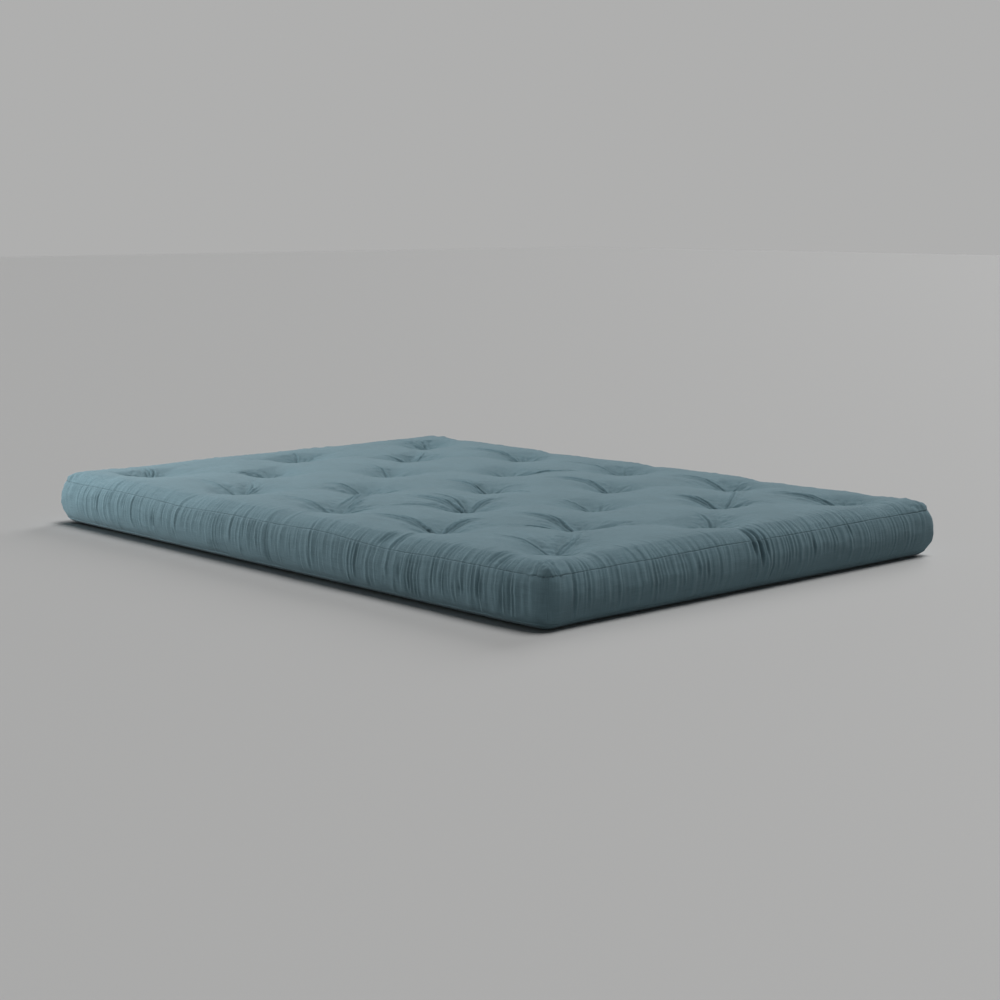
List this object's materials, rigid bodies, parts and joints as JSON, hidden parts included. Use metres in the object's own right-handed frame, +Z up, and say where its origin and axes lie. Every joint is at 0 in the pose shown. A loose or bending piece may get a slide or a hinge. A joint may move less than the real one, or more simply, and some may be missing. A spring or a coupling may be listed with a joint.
{
  "type": "futon mattress",
  "caption": "Rectangular futon mattress with a boxed woven cover, gathered borders, felt and foam layers, and a staggered field of tufts.",
  "frame": {"origin": "middle of the underside, on the surface the mattress lies on", "axes": "+X along the 2.0 m length, +Y across the 1.4 m width, +Z up out of the sleeping side"},
  "size_m": [2, 1.4, 0.146],
  "materials": {
    "cover_twill": "matte",
    "seam_thread": "matte",
    "cotton_felt": "matte",
    "foam": "matte",
    "tuft_twine": "matte"
  },
  "bodies": {
    "root": {"top_panel": "cover_twill", "bottom_panel": "cover_twill", "border_front": "cover_twill", "border_back": "cover_twill", "border_left": "cover_twill", "border_right": "cover_twill", "top_seam_thread": "seam_thread", "bottom_seam_thread": "seam_thread", "corner_seam_thread_back_left": "seam_thread", "corner_seam_thread_back_right": "seam_thread", "corner_seam_thread_front_left": "seam_thread", "corner_seam_thread_front_right": "seam_thread", "upper_felt_outer": "cotton_felt", "upper_felt_inner": "cotton_felt", "lower_felt_inner": "cotton_felt", "lower_felt_outer": "cotton_felt", "foam_core": "foam", "tuft_tie_01": "tuft_twine", "tuft_tie_02": "tuft_twine", "tuft_tie_03": "tuft_twine", "tuft_tie_04": "tuft_twine", "tuft_tie_05": "tuft_twine", "tuft_tie_06": "tuft_twine", "tuft_tie_07": "tuft_twine", "tuft_tie_08": "tuft_twine", "tuft_tie_09": "tuft_twine", "tuft_tie_10": "tuft_twine", "tuft_tie_11": "tuft_twine", "tuft_tie_12": "tuft_twine", "tuft_tie_13": "tuft_twine", "tuft_tie_14": "tuft_twine", "tuft_tie_15": "tuft_twine", "tuft_tie_16": "tuft_twine", "tuft_tie_17": "tuft_twine", "tuft_tie_18": "tuft_twine", "tuft_tie_19": "tuft_twine", "tuft_tie_20": "tuft_twine", "tuft_tie_21": "tuft_twine", "tuft_tie_22": "tuft_twine", "tuft_tie_23": "tuft_twine"}
  },
  "joints": []
}
